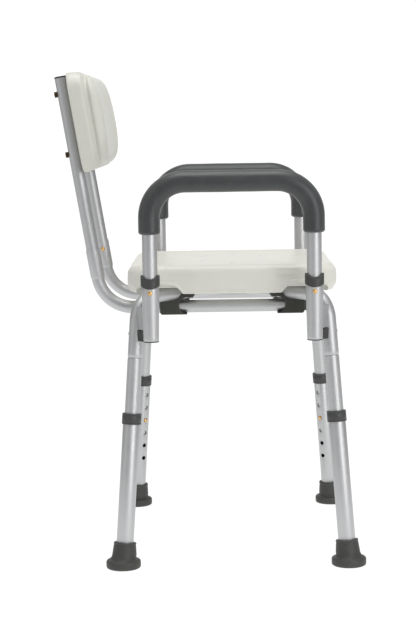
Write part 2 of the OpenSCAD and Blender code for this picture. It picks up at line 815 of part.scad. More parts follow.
module seat() {
  post_d = 16;
  centre_post_d = 28;
  pocket_d = 18;
  cavity_foot = slab_z + seat_wall;
  color("ivory") from_seat_centre() difference() {
    union() {
      soft_slab(seat_w, seat_d, seat_corner_r, seat_edge_r, skirt_z, seat_top_z);
      for (side = sides, end = ends)
        translate([side * screw_side, end * screw_y, 0]) cylinder_between(boss_d, tab_top_z + rest_gap, slab_z);
    }
    // recess under the slab, inside the skirt
    difference() {
      translate([0, 0, skirt_z - 10]) linear_extrude(slab_z - skirt_z + 10)
        rounded_outline(seat_w - 2 * skirt_t, seat_d - 2 * skirt_t, seat_corner_r - skirt_t);
      for (side = sides, end = ends)
        translate([side * screw_side, end * screw_y, 0]) cylinder_between(boss_d, tab_top_z + rest_gap, slab_z);
    }
    // hollow of the moulding, with a post round each hole
    difference() {
      soft_slab(seat_w - 40, seat_d - 40, seat_corner_r - 12, seat_edge_r - 5, cavity_foot, seat_top_z - seat_wall);
      for (place = drain_places) translate(place) cylinder_between(post_d, slab_z, seat_top_z);
      cylinder_between(centre_post_d, slab_z, seat_top_z);
    }
    for (place = drain_places) translate(place) cylinder_between(drain_d, slab_z - 1, seat_top_z + 1);
    cylinder_between(pocket_d, slab_z - 1, slab_z + 6);
    for (side = sides, end = ends) {
      translate([side * screw_side, end * screw_y, 0]) cylinder_between(screw_d, tab_top_z - 1, tab_z + 17);
      // arched notch in the side wall, where the frame tube comes out
      translate([side * (seat_w / 2 - skirt_t - 5), 0, 0]) rotate([90, 0, 90 * side])
        linear_extrude(skirt_t + 10) {
          for (y = [arch_y, arch_outer_y]) translate([side * end * y, arch_z]) circle(r = arch_r);
          translate([side * end * (arch_y + arch_outer_y) / 2, arch_z])
            square([arch_outer_y - arch_y, 2 * arch_r], center = true);
        }
    }
  }
}

frame_tube(right, -1);  // frame_tube_a
frame_tube(left, 1);  // frame_tube_b
centre_bolt();
inner_leg(right, rear);  // rear_right_inner_leg
inner_leg(left, rear);  // rear_left_inner_leg
inner_leg(right, front);  // front_right_inner_leg
inner_leg(left, front);  // front_left_inner_leg
outer_leg(right, rear);  // rear_right_outer_leg
outer_leg(left, rear);  // rear_left_outer_leg
outer_leg(right, front);  // front_right_outer_leg
outer_leg(left, front);  // front_left_outer_leg
leg_collar(right, rear);  // rear_right_leg_collar
leg_collar(left, rear);  // rear_left_leg_collar
leg_collar(right, front);  // front_right_leg_collar
leg_collar(left, front);  // front_left_leg_collar
foot(right, rear);  // rear_right_foot
foot(left, rear);  // rear_left_foot
foot(right, front);  // front_right_foot
foot(left, front);  // front_left_foot
leg_button(right, rear);  // rear_right_leg_button
leg_button(left, rear);  // rear_left_leg_button
leg_button(right, front);  // front_right_leg_button
leg_button(left, front);  // front_left_leg_button
leg_springs();
arm_socket(right, rear);  // rear_right_arm_socket
arm_socket(left, rear);  // rear_left_arm_socket
arm_socket(right, front);  // front_right_arm_socket
arm_socket(left, front);  // front_left_arm_socket
socket_collars();
socket_plugs();
socket_gussets();
socket_bolts();
arm_tube(right);  // right_arm_tube
arm_tube(left);  // left_arm_tube
arm_pad(right);  // right_arm_pad
arm_pad(left);  // left_arm_pad
arm_button(right, rear);  // rear_right_arm_button
arm_button(left, rear);  // rear_left_arm_button
arm_button(right, front);  // front_right_arm_button
arm_button(left, front);  // front_left_arm_button
arm_springs(right);  // right_arm_springs
arm_springs(left);  // left_arm_springs
rear_brackets();
front_brackets();
bracket_screws();
seat();
lower_back_tube(right);  // right_lower_back_tube
lower_back_tube(left);  // left_lower_back_tube
rail_button(right);  // right_rail_button
rail_button(left);  // left_rail_button
rail_springs();
upper_back_tube(right);  // right_upper_back_tube
upper_back_tube(left);  // left_upper_back_tube
back_tube_caps();
backrest();
backrest_bolts();
backrest_washers();
back_button(right);  // right_back_button
back_button(left);  // left_back_button
back_springs();
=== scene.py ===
"""Looks of the shower chair: moulded plastic, foam, anodised tubes and a pale studio."""

import json
import math

import bmesh
import bpy
from mathutils import Matrix, Vector

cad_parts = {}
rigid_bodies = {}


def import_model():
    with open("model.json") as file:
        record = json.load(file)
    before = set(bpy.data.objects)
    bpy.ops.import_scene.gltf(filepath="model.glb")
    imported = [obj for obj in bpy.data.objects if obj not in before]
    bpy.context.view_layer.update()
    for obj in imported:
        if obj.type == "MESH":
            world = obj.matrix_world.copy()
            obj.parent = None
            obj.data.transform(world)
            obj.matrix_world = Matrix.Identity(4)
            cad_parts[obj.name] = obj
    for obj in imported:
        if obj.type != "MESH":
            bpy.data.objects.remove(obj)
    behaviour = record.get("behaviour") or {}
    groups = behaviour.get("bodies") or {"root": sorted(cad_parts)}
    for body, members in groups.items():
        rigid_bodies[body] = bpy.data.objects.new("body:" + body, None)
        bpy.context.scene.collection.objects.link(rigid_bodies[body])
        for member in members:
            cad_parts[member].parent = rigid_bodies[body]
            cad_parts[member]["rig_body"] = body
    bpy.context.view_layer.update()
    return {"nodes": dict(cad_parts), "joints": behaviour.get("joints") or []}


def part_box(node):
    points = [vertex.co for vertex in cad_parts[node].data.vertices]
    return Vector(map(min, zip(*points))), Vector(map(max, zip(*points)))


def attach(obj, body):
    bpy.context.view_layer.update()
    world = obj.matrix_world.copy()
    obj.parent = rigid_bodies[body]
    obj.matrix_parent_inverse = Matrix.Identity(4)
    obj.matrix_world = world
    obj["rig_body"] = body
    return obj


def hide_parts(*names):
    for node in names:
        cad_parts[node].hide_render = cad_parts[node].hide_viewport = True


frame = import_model()
NODES = frame["nodes"]
MM = 0.001

SIDES = {"right": -1, "left": 1}
ENDS = {"rear": 1, "front": -1}
PLACES = [(end, side) for end in ENDS for side in SIDES]


# ---------------------------------------------------------------- shared frames

def centre(node):
    """Middle of a node's box. For a right cylinder it is the middle of its axis."""
    low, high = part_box(node)
    return (low + high) / 2


def basis(origin, x_axis, y_axis, z_axis):
    """Matrix that takes local coordinates to the part's frame."""
    turn = Matrix((x_axis, y_axis, z_axis)).transposed().to_4x4()
    return Matrix.Translation(origin) @ turn


SEAT_CENTRE = centre("seat")
SEAT_CENTRE.z = 0


def leg_basis(end, side):
    """Z runs up the leg from the foot centre, X points away from the seat."""
    foot = centre(f"{end}_{side}_foot")
    foot.z = 0
    up = (centre(f"{end}_{side}_leg_collar") - foot).normalized()
    out = foot - SEAT_CENTRE
    out = (out - up * out.dot(up)).normalized()
    return basis(foot, out, up.cross(out), up)


def back_basis():
    """Z runs up the back tubes from their joint, Y points rearward."""
    lift = next(j for j in frame["joints"] if j["name"] == "backrest_lift")
    up = Vector(lift["axis"]).normalized()
    joint_to_middle = 127.5 * MM
    origin = centre("right_upper_back_tube") - up * joint_to_middle
    origin.x = 0
    x_axis = Vector((1, 0, 0))
    return basis(origin, x_axis, up.cross(x_axis), up)


# ---------------------------------------------------------------- mesh helpers

def smoothstep(low, high, value):
    t = min(1.0, max(0.0, (value - low) / (high - low)))
    return t * t * (3 - 2 * t)


def lerp(a, b, t):
    return a + (b - a) * t


def loft(rings, closed=False):
    """Quads between rings of the same length. Open lofts get flat end caps."""
    count = len(rings[0])
    points = [p for ring in rings for p in ring]
    last = len(rings) if closed else len(rings) - 1
    faces = []
    for i in range(last):
        here = i * count
        there = (i + 1) % len(rings) * count
        for j in range(count):
            k = (j + 1) % count
            faces.append((here + j, here + k, there + k, there + j))
    if not closed:
        faces.append(tuple(reversed(range(count))))
        faces.append(tuple(range(len(points) - count, len(points))))
    return points, faces


def circle(radius, height, count, matrix, ripple=None):
    """One ring about the local Z axis, in millimetres."""
    ring = []
    for j in range(count):
        angle = 2 * math.pi * j / count
        r = radius + (ripple(angle) if ripple else 0)
        ring.append(matrix @ (Vector((r * math.cos(angle), r * math.sin(angle), height)) * MM))
    return ring


def lathe(profile, matrix, count=72, closed=True):
    """Turns (radius, height) pairs, in millimetres, about the local Z axis."""
    return loft([circle(r, h, count, matrix) for r, h in profile], closed)


def merged(parts):
    """Joins several (points, faces) pairs into one."""
    points, faces = [], []
    for some_points, some_faces in parts:
        base = len(points)
        points += some_points
        faces += [tuple(base + i for i in face) for face in some_faces]
    return points, faces


def new_piece(name, mesh_data, material, body, nodes=(), sharp=35):
    mesh = bpy.data.meshes.new(name)
    mesh.from_pydata([tuple(p) for p in mesh_data[0]], [], mesh_data[1])
    mesh.validate()
    piece = bpy.data.objects.new(name, mesh)
    bpy.context.scene.collection.objects.link(piece)
    face_outward(mesh)
    finish_piece(piece, material, body, nodes, sharp)
    return piece


def face_outward(mesh):
    work = bmesh.new()
    work.from_mesh(mesh)
    bmesh.ops.recalc_face_normals(work, faces=work.faces)
    work.to_mesh(mesh)
    work.free()


def finish_piece(piece, material, body, nodes, sharp):
    mesh = piece.data
    mesh.polygons.foreach_set("use_smooth", [True] * len(mesh.polygons))
    mesh.set_sharp_from_angle(angle=math.radians(sharp))
    mesh.materials.clear()
    mesh.materials.append(material)
    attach(piece, body)
    if nodes:
        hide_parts(*nodes)


def body_of(node):
    return NODES[node]["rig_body"]


def baked(piece):
    """Applies a piece's modifiers to its mesh."""
    graph = bpy.context.evaluated_depsgraph_get()
    mesh = bpy.data.meshes.new_from_object(piece.evaluated_get(graph))
    piece.modifiers.clear()
    old = piece.data
    piece.data = mesh
    bpy.data.meshes.remove(old)


def moulded(node, material, voxel, rounds):
    """Stands for a CAD node with the same shape and soft moulded edges."""
    piece = bpy.data.objects.new(node + "_moulded", NODES[node].data.copy())
    bpy.context.scene.collection.objects.link(piece)
    weld = piece.modifiers.new("weld", "WELD")
    weld.merge_threshold = 0.002 * MM
    remesh = piece.modifiers.new("remesh", "REMESH")
    remesh.mode = "VOXEL"
    remesh.voxel_size = voxel * MM
    soften = piece.modifiers.new("soften", "SMOOTH")
    soften.factor = 0.5
    soften.iterations = rounds
    baked(piece)
    finish_piece(piece, material, body_of(node), [node], 180)
    return piece


def dress(node, material, bevel=0.0):
    """Keeps a CAD node, with welded smooth shading, eased edges and a new material."""
    piece = NODES[node]
    mesh = piece.data
    mesh.polygons.foreach_set("use_smooth", [True] * len(mesh.polygons))
    mesh.materials.clear()
    mesh.materials.append(material)
    weld = piece.modifiers.new("weld", "WELD")
    weld.merge_threshold = 0.002 * MM
    if bevel:
        ease = piece.modifiers.new("ease", "BEVEL")
        ease.width = bevel * MM
        ease.segments = 2
        ease.limit_method = "ANGLE"
        ease.angle_limit = math.radians(50)
    split = piece.modifiers.new("split", "EDGE_SPLIT")
    split.split_angle = math.radians(32)


# ---------------------------------------------------------------- materials

def node_tools(name):
    material = bpy.data.materials.new(name)
    material.use_nodes = True
    tree = material.node_tree
    shader = tree.nodes["Principled BSDF"]
    return material, tree, shader


def noise(tree, vector, scale, detail=4.0, rough=0.55):
    node = tree.nodes.new("ShaderNodeTexNoise")
    node.inputs["Scale"].default_value = scale
    node.inputs["Detail"].default_value = detail
    node.inputs["Roughness"].default_value = rough
    tree.links.new(vector, node.inputs["Vector"])
    return node.outputs["Fac"]


def object_vector(tree, axis=None, stretch=1.0):
    """Object coordinates, squeezed along an axis so that a texture streaks along it."""
    source = tree.nodes.new("ShaderNodeTexCoord")
    if axis is None:
        return source.outputs["Object"]
    turn = Vector(axis).normalized().rotation_difference(Vector((0, 0, 1)))
    mapping = tree.nodes.new("ShaderNodeMapping")
    mapping.inputs["Rotation"].default_value = turn.to_euler()
    squeeze = tree.nodes.new("ShaderNodeMapping")
    squeeze.inputs["Scale"].default_value = (1, 1, stretch)
    tree.links.new(source.outputs["Object"], mapping.inputs["Vector"])
    tree.links.new(mapping.outputs["Vector"], squeeze.inputs["Vector"])
    return squeeze.outputs["Vector"]


def remap(tree, value, low, high, from_low=0.3, from_high=0.7):
    node = tree.nodes.new("ShaderNodeMapRange")
    node.inputs["From Min"].default_value = from_low
    node.inputs["From Max"].default_value = from_high
    node.inputs["To Min"].default_value = low
    node.inputs["To Max"].default_value = high
    tree.links.new(value, node.inputs["Value"])
    return node.outputs["Result"]


def mixed_colour(tree, value, dark, light):
    node = tree.nodes.new("ShaderNodeMix")
    node.data_type = "RGBA"
    node.inputs["A"].default_value = (*dark, 1)
    node.inputs["B"].default_value = (*light, 1)
    tree.links.new(value, node.inputs["Factor"])
    return node.outputs["Result"]


def add_bump(tree, shader, value, strength, distance):
    """Stacks a bump on whatever already drives the shader's normal."""
    bump = tree.nodes.new("ShaderNodeBump")
    bump.inputs["Strength"].default_value = strength
    bump.inputs["Distance"].default_value = distance
    tree.links.new(value, bump.inputs["Height"])
    if shader.inputs["Normal"].is_linked:
        tree.links.new(shader.inputs["Normal"].links[0].from_socket, bump.inputs["Normal"])
    tree.links.new(bump.outputs["Normal"], shader.inputs["Normal"])


def scaled(colour, factor):
    return tuple(c * factor for c in colour)


def metal(name, colour, roughness, axis=None, spread=0.06, streaks=0.25, variation=0.08):
    """Drawn and anodised or plated metal: fine streaks along the axis, soft clouding."""
    material, tree, shader = node_tools(name)
    shader.inputs["Metallic"].default_value = 1.0
    along = object_vector(tree, axis, 0.02) if axis else object_vector(tree)
    streak = noise(tree, along, 1400, 3.0)
    cloud = noise(tree, object_vector(tree), 26, 3.0)
    both = tree.nodes.new("ShaderNodeMix")
    both.inputs["Factor"].default_value = 0.45
    tree.links.new(cloud, both.inputs["A"])
    tree.links.new(streak, both.inputs["B"])
    shade = both.outputs["Result"]
    colours = mixed_colour(tree, remap(tree, shade, 0, 1), scaled(colour, 1 - variation), colour)
    tree.links.new(colours, shader.inputs["Base Color"])
    rough = remap(tree, shade, roughness - spread, roughness + spread)
    tree.links.new(rough, shader.inputs["Roughness"])
    add_bump(tree, shader, streak, streaks, 0.02 * MM)
    return material


def plastic(name, colour, roughness, grain, depth, variation=0.12, wear=0.0, level=0.5):
    """Moulded plastic or rubber: spark-eroded grain, soft flow clouding, paler worn edges."""
    material, tree, shader = node_tools(name)
    vector = object_vector(tree)
    cloud = noise(tree, vector, 34, 4.0)
    fine = noise(tree, vector, grain, 3.0, 0.6)
    shader.inputs["Specular IOR Level"].default_value = level
    colours = mixed_colour(tree, remap(tree, cloud, 0, 1), scaled(colour, 1 - variation), colour)
    if wear:
        geometry = tree.nodes.new("ShaderNodeNewGeometry")
        edge = remap(tree, geometry.outputs["Pointiness"], 0, wear, 0.51, 0.60)
        blend = tree.nodes.new("ShaderNodeMix")
        blend.data_type = "RGBA"
        tree.links.new(edge, blend.inputs["Factor"])
        tree.links.new(colours, blend.inputs["A"])
        blend.inputs["B"].default_value = (*[min(1.0, c * 1.9 + 0.05) for c in colour], 1)
        colours = blend.outputs["Result"]
    tree.links.new(colours, shader.inputs["Base Color"])
    tree.links.new(remap(tree, fine, roughness - 0.07, roughness + 0.07), shader.inputs["Roughness"])
    add_bump(tree, shader, cloud, 0.10, 0.35 * MM)
    add_bump(tree, shader, fine, 0.5, depth * MM)
    return material


def foam(name, colour):
    """Closed-cell foam with a skin: shallow cells, a little sheen and uneven tone."""
    material, tree, shader = node_tools(name)
    vector = object_vector(tree)
    cells = tree.nodes.new("ShaderNodeTexVoronoi")
    cells.inputs["Scale"].default_value = 900
    tree.links.new(vector, cells.inputs["Vector"])
    cloud = noise(tree, vector, 45, 5.0)
    fine = noise(tree, vector, 2600, 2.0)
    colours = mixed_colour(tree, remap(tree, cloud, 0, 1), scaled(colour, 0.86), scaled(colour, 1.1))
    tree.links.new(colours, shader.inputs["Base Color"])
    tree.links.new(remap(tree, cloud, 0.34, 0.44), shader.inputs["Roughness"])
    shader.inputs["Sheen Weight"].default_value = 0.12
    shader.inputs["Sheen Roughness"].default_value = 0.5
    add_bump(tree, shader, cells.outputs["Distance"], 0.35, 0.06 * MM)
    add_bump(tree, shader, fine, 0.3, 0.03 * MM)
    return material


ALUMINIUM = (0.56, 0.565, 0.57)
SATIN = 0.47
DIAGONALS = {
    "a": centre("rear_right_foot") - centre("front_left_foot"),
    "b": centre("rear_left_foot") - centre("front_right_foot"),
}
upright_metal = metal("anodised_upright", ALUMINIUM, SATIN, (0, 0, 1))
rail_metal = metal("anodised_rail", ALUMINIUM, SATIN, (0, 1, 0.08))
bow_metal = metal("anodised_bow", ALUMINIUM, SATIN, (0, 0, 1))
diagonal_metal = {key: metal("anodised_" + key, ALUMINIUM, SATIN, d) for key, d in DIAGONALS.items()}
weld_metal = metal("welded", scaled(ALUMINIUM, 0.95), 0.46, None, 0.1, 0.8, 0.25)
brass = metal("brass_plate", (0.80, 0.50, 0.20), 0.24, None, 0.08, 0.3, 0.2)
dark_brass = metal("aged_brass", (0.09, 0.06, 0.032), 0.38, None, 0.08, 0.4, 0.35)
steel = metal("zinc_plate", (0.50, 0.51, 0.52), 0.30, None, 0.08, 0.4, 0.2)
spring = metal("spring_strip", (0.44, 0.45, 0.47), 0.28, (0, 0, 1), 0.08, 0.4, 0.15)
seat_skin = plastic("seat_moulding", (0.72, 0.715, 0.65), 0.42, 1500, 0.03, 0.03)
# Painted shade: the seat's own plastic, darkened to 0.86 of its colour for the backrest to stand in for the
# shade its faces get; the two are one moulding.
back_painted_shade_skin = plastic("back_moulding_painted_shade", (0.62, 0.62, 0.56), 0.42, 1500, 0.03, 0.03)
foot_skin = plastic("foot_rubber", (0.047, 0.049, 0.044), 0.52, 1900, 0.05, 0.2, 0.35, 0.45)
collar_skin = plastic("collar_plastic", (0.044, 0.046, 0.044), 0.46, 2200, 0.03, 0.2, 0.3, 0.45)
bracket_skin = plastic("bracket_plastic", (0.040, 0.043, 0.034), 0.48, 1700, 0.04, 0.2, 0.3, 0.45)
cap_skin = plastic("cap_plastic", (0.012, 0.014, 0.018), 0.30, 2400, 0.02, 0.2, 0.3)
washer_skin = plastic("washer_rubber", (0.016, 0.016, 0.016), 0.6, 2400, 0.04, 0.2)
pad_skin = foam("pad_foam", (0.040, 0.043, 0.044))


# ---------------------------------------------------------------- feet

RIBS = 28


def foot_rib(height):
    """Depth in millimetres of the fine upright ribs on the cuff at that height."""
    share = smoothstep(21, 24, height) * (1 - smoothstep(36, 38.5, height))
    return lambda angle: 0.28 * share * (0.5 + 0.5 * math.cos(RIBS * angle)) ** 2


FOOT_PROFILE = [
    (4, 1.8), (8.2, 1.8), (8.9, 1.4), (9.1, 0.5), (9.7, 0.0), (14.4, 0.0), (15.0, 0.5), (15.2, 1.6),
    (15.8, 1.9), (18.2, 1.9), (18.8, 1.6), (19.0, 0.5), (19.6, 0.0), (24.6, 0.0), (26.9, 0.35),
    (28.4, 1.3), (29.1, 2.7), (29.3, 4.4), (29.3, 10.2), (29.1, 11.6), (28.5, 12.9), (27.4, 13.8),
    (25.6, 14.6), (23.8, 15.3), (22.5, 16.2), (21.6, 17.5), (21.0, 19.2), (20.6, 21.2), (20.4, 23.0),
    (20.2, 24.6), (20.0, 26.4), (19.7, 29.0), (19.4, 32.0), (19.1, 35.0), (18.95, 36.6), (18.8, 38.2),
    (18.7, 39.6), (18.75, 40.1), (19.1, 40.4), (19.25, 40.9), (19.25, 41.9), (19.0, 42.5), (18.5, 42.8),
    (16.4, 42.8), (15.4, 42.4), (14.8, 41.6), (14.6, 40.4), (14.6, 18.0), (13.4, 15.4), (6.0, 15.2),
]


def make_foot(end, side):
    leg = leg_basis(end, side)
    up = leg.to_3x3() @ Vector((0, 0, 1))
    level_x = Vector((leg[0][0], leg[1][0], 0)).normalized()
    level_y = Vector((0, 0, 1)).cross(level_x)
    level = basis(leg.translation, level_x, level_y, Vector((0, 0, 1)))
    rings = []
    for radius, height in FOOT_PROFILE:
        ripple = foot_rib(height) if radius > 18.5 else None
        low = circle(radius, height, 112, level, ripple)
        high = circle(radius, height / up.z, 112, leg, ripple)
        share = smoothstep(11, 24, height)
        rings.append([a.lerp(b, share) for a, b in zip(low, high)])
    node = f"{end}_{side}_foot"
    new_piece(f"{end}_{side}_boot", loft(rings), foot_skin, body_of(node), [node], 40)


for end, side in PLACES:
    make_foot(end, side)


# ---------------------------------------------------------------- leg collars

COLLAR_PROFILE = [
    (14.6, -9.0), (14.9, -9.3), (15.6, -9.3), (16.1, -9.1), (16.4, -8.6), (16.4, -7.2), (16.15, -6.9),
    (16.15, -6.5), (16.4, -6.2), (16.4, 5.8), (16.15, 6.1), (16.15, 6.5), (16.4, 6.8), (16.4, 8.5),
    (16.1, 9.1), (15.6, 9.3), (13.2, 9.3), (12.7, 9.0), (12.62, 8.4), (12.62, 3.9), (14.6, 3.7),
]


def make_leg_collar(end, side):
    node = f"{end}_{side}_leg_collar"
    leg = leg_basis(end, side)
    leg.translation = centre(node)
    ring = lathe(COLLAR_PROFILE, leg)
    new_piece(f"{end}_{side}_leg_ring", ring, collar_skin, body_of(node), [node], 50)


for end, side in PLACES:
    make_leg_collar(end, side)


# ---------------------------------------------------------------- arm sockets' collars

SADDLE_R = 16.1
SADDLE_BORE_R = 12.62
SADDLE_SHELL_R = 14.76
SADDLE_FOOT_BOW_R = 30
SADDLE_DIP_R = 24
SADDLE_DIP_RISE = 17.5
SADDLE_FOOT_ROWS = [(14.76, 0.3), (15.1, 0.0), (15.7, 0.0), (16.0, 0.25), (16.1, 0.8), (16.1, 3.0)]
SADDLE_TOP_ROWS = [
    (16.1, -3.0), (15.85, -2.7), (15.85, -2.2), (16.1, -1.9), (16.1, -0.8), (15.9, -0.2),
    (15.4, 0.0), (13.3, 0.0), (12.75, -0.3), (12.62, -1.0),
]


def socket_collar(end, side):
    """Saddle-topped ring: its ends rise at front and rear, its foot bows down between."""
    low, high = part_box(f"{end}_{side}_arm_socket")
    post = (low + high) / 2
    post.z = 0
    socket_top = high.z / MM
    collars_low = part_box("socket_collars")[0].z / MM
    collars_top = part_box("socket_collars")[1].z / MM
    count = 96
    rings = []
    for i, (radius, offset) in enumerate(SADDLE_FOOT_ROWS + SADDLE_TOP_ROWS):
        ring = []
        for j in range(count):
            angle = 2 * math.pi * j / count
            y = SADDLE_R * math.sin(angle)
            foot = collars_low + SADDLE_FOOT_BOW_R - math.sqrt(SADDLE_FOOT_BOW_R ** 2 - y * y)
            dip = collars_top + SADDLE_DIP_RISE - math.sqrt(SADDLE_DIP_R ** 2 - y * y)
            top = min(collars_top, dip) - 0.3 * smoothstep(-1.5, 0.5, dip - collars_top)
            z = foot + offset if i < len(SADDLE_FOOT_ROWS) else top + offset
            spot = Vector((radius * math.cos(angle), radius * math.sin(angle), z))
            ring.append(post + spot * MM)
        rings.append(ring)
    for radius, height in ((SADDLE_BORE_R, socket_top + 0.5), (SADDLE_SHELL_R, socket_top + 0.2)):
        rings.append(circle(radius, height, count, Matrix.Translation(post)))
    return loft(rings, closed=True)


saddles = merged([socket_collar(end, side) for end, side in PLACES])
saddle_node = "socket_collars"
new_piece("saddle_collars", saddles, collar_skin, body_of(saddle_node), [saddle_node], 50)


# ---------------------------------------------------------------- arm pads

ARM_BEND = 60.0
TUBE_R = 12.5
PAD_R = 18.4
PAD_END = 5.0


def bow_path(half, foot, top):
    """Function from distance to (place, height, tangent) on an inverted U, and its length."""
    post = top - ARM_BEND - foot
    arc = ARM_BEND * math.pi / 2
    run = 2 * (half - ARM_BEND)
    length = 2 * post + 2 * arc + run

    def at(s):
        if s > length / 2:
            y, z, ty, tz = at(length - s)
            return -y, z, ty, -tz
        if s < post:
            return half, foot + s, 0.0, 1.0
        if s < post + arc:
            angle = (s - post) / ARM_BEND
            y = half - ARM_BEND + ARM_BEND * math.cos(angle)
            z = top - ARM_BEND + ARM_BEND * math.sin(angle)
            return y, z, -math.sin(angle), math.cos(angle)
        return half - ARM_BEND - (s - post - arc), top, -1.0, 0.0

    return at, length


def bow_ring(at, s, radius, origin, count=72):
    y, z, ty, tz = at(s)
    middle = Vector((origin.x, origin.y + y * MM, z * MM))
    normal = Vector((0, -tz, ty))
    side = Vector((1, 0, 0))
    ring = []
    for j in range(count):
        angle = 2 * math.pi * j / count
        ring.append(middle + (side * math.cos(angle) + normal * math.sin(angle)) * radius * MM)
    return ring


def make_pad(side):
    node = f"{side}_arm_pad"
    low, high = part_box(node)
    half = (high.y - low.y) / 2 / MM - PAD_R
    at, length = bow_path(half, low.z / MM, high.z / MM - PAD_R)
    origin = (low + high) / 2
    outer = [(0.4, TUBE_R + 0.3), (0.0, TUBE_R + 1.0), (0.0, PAD_R - PAD_END)]
    steps = 8
    for i in range(1, steps + 1):
        angle = math.pi / 2 * i / steps
        outer.append((PAD_END * (1 - math.cos(angle)), PAD_R - PAD_END + PAD_END * math.sin(angle)))
    end_run = outer[:]
    middle = 150
    for i in range(1, middle):
        s = PAD_END + (length - 2 * PAD_END) * i / middle
        swell = 0.10 * math.sin(s / 23) + 0.07 * math.sin(s / 9.1 + 1)
        outer.append((s, PAD_R - 0.12 + swell * smoothstep(PAD_END, 40, min(s, length - s))))
    outer += [(length - s, radius) for s, radius in reversed(end_run)]
    bore = [(length - 1.0 - (length - 2.0) * i / 60, TUBE_R + 0.08) for i in range(61)]
    rings = [bow_ring(at, s, radius, origin) for s, radius in outer + bore]
    pad = new_piece(f"{side}_arm_foam", loft(rings, True), pad_skin, body_of(node), [node], 50)


for side in SIDES:
    make_pad(side)


# ---------------------------------------------------------------- crossed frame tubes

PRESS_HALF = 26.0
PRESS_END = 48.0
PRESS_WIDE = 32.0
PRESS_THICK = 12.2
PRESS_DROP = 6.25
FRAME_BEND = 45.0
FRAME_Z = 455.0
FRAME_WALL = 1.2
JOINT_Z = 353.0
JOINT_GAP = 0.5
JOINT_EASE = 0.9


def pressed_point(angle, share, inset):
    """Point of a tube section: round at share 0, pressed flat at share 1."""
    radius = TUBE_R - inset
    wide = PRESS_WIDE / 2 - inset
    thick = PRESS_THICK / 2 - inset
    c, s = math.cos(angle), math.sin(angle)
    flat = Vector((math.copysign(wide * abs(c) ** 0.75, c), math.copysign(thick * abs(s) ** 0.35, s)))
    return Vector((radius * c, radius * s)).lerp(flat, share)


def frame_stations(reach, lean, level):
    """Half a crossed tube: (distance out, height, direction out, direction up, pressing, ease)."""
    tangent = FRAME_BEND * math.tan((math.pi / 2 - lean) / 2)
    bend_u = reach - FRAME_Z * math.tan(lean) - tangent
    leg_foot = JOINT_Z / math.cos(lean) + JOINT_GAP
    leg_top = FRAME_Z / math.cos(lean) - tangent
    steps = [(leg_foot, JOINT_EASE), (leg_foot + JOINT_EASE, 0.0)]
    steps += [(lerp(leg_foot, leg_top, i / 8), 0.0) for i in range(1, 9)]
    stations = []
    for along, ease in steps:
        u = reach - along * math.sin(lean)
        stations.append((u, along * math.cos(lean), math.sin(lean), -math.cos(lean), 0.0, ease))
    for i in range(1, 25):
        angle = (math.pi / 2 - lean) * (1 - i / 24)
        u = bend_u + FRAME_BEND * math.sin(angle)
        z = FRAME_Z - FRAME_BEND + FRAME_BEND * math.cos(angle)
        stations.append((u, z, math.cos(angle), -math.sin(angle), 0.0, 0.0))
    for i in range(1, 11):
        stations.append((lerp(bend_u, PRESS_END, i / 10), FRAME_Z, 1.0, 0.0, 0.0, 0.0))
    for i in range(1, 15):
        share = smoothstep(0, 1, i / 14)
        u = lerp(PRESS_END, PRESS_HALF, i / 14)
        stations.append((u, FRAME_Z + level * PRESS_DROP * share, 1.0, 0.0, share, 0.0))
    stations.append((PRESS_HALF / 2, FRAME_Z + level * PRESS_DROP, 1.0, 0.0, 1.0, 0.0))
    return stations


def make_frame_tube(key, end, side, level):
    """Sweeps one tube from leg to leg, pressed where the two cross under the seat."""
    node = "frame_tube_" + key
    leg = leg_basis(end, side)
    lean = math.acos((leg.to_3x3() @ Vector((0, 0, 1))).z)
    out = Vector((leg.translation.x, leg.translation.y, 0)) - SEAT_CENTRE
    half = frame_stations(out.length / MM, lean, level)
    out.normalize()
    across = Vector((0, 0, 1)).cross(out)
    middle_station = (0.0, FRAME_Z + level * PRESS_DROP, 1.0, 0.0, 1.0, 0.0)
    mirrored = [(-u, z, tu, -tz, share, ease) for u, z, tu, tz, share, ease in reversed(half)]
    whole = half + [middle_station] + mirrored
    rings = []
    for wall, run in ((0.0, whole), (FRAME_WALL, list(reversed(whole)))):
        for u, z, tu, tz, share, ease in run:
            middle = SEAT_CENTRE + out * u * MM + Vector((0, 0, z * MM))
            normal = out * -tz + Vector((0, 0, 1)) * tu
            ring = []
            for j in range(64):
                p = pressed_point(2 * math.pi * j / 64, share, max(wall, ease))
                ring.append(middle + (across * p.x + normal * p.y) * MM)
            rings.append(ring)
    name = f"crossed_tube_{key}"
    new_piece(name, loft(rings, True), diagonal_metal[key], body_of(node), [node], 50)


make_frame_tube("a", "rear", "right", -1)
make_frame_tube("b", "rear", "left", 1)


# ---------------------------------------------------------------- seat

def outline(half_x, half_y, corner, side_steps=96, end_steps=56, corner_steps=20):
    """Points of a rounded rectangle, anticlockwise from the front of the left side."""
    corner = max(corner, 0.5)
    points = []
    runs = (
        (half_x, half_y, 0, side_steps), (half_x, half_y, 1, end_steps),
        (half_x, half_y, 2, side_steps), (half_x, half_y, 3, end_steps),
    )
    for hx, hy, turn, steps in runs:
        along, off = (hy, hx) if turn % 2 == 0 else (hx, hy)
        for i in range(steps):
            p = Vector((off, lerp(-(along - corner), along - corner, i / steps)))
            points.append(quarter(p, turn))
        for i in range(corner_steps):
            angle = math.pi / 2 * i / corner_steps
            p = Vector((off - corner + corner * math.cos(angle), along - corner + corner * math.sin(angle)))
            points.append(quarter(p, turn))
    return points


def quarter(p, turn):
    """Turns a point by quarter turns."""
    for _ in range(turn):
        p = Vector((-p.y, p.x))
    return p


ARCH_R = 26.0
ARCH_Z = 447.0
ARCH_FROM = 108.6
ARCH_TO = 146.0


